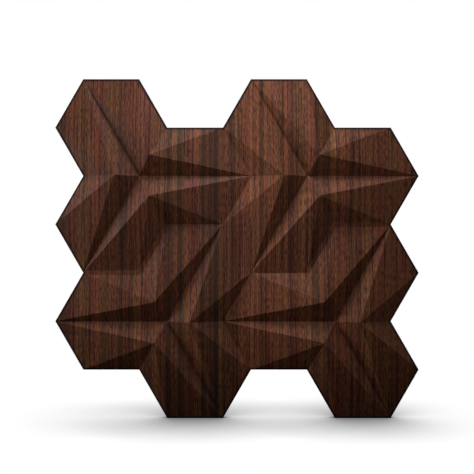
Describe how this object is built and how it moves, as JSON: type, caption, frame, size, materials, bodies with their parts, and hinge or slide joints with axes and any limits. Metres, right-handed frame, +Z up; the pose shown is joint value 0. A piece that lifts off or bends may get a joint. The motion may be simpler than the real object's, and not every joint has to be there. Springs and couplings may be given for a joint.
{
  "type": "carved hexagon relief wall panel",
  "caption": "Dark hardwood wall panel of joined hexagon cells, carved on the front into a faceted star relief, with a stepped outline and a flat back that is fixed to a wall.",
  "frame": {"origin": "centre of the flat back face, which lies against the wall", "axes": "+X to the right seen from the front, +Z up along the grain, -Y out of the carved front, +Y out of the back into the wall"},
  "size_m": [0.65, 0.032, 0.6062],
  "materials": {
    "dark_wood": "dark reddish brown straight-grained hardwood, oiled satin, with fine near-black pores and the grain upright"
  },
  "bodies": {
    "root": {"carved_panel": "dark_wood"}
  },
  "joints": []
}
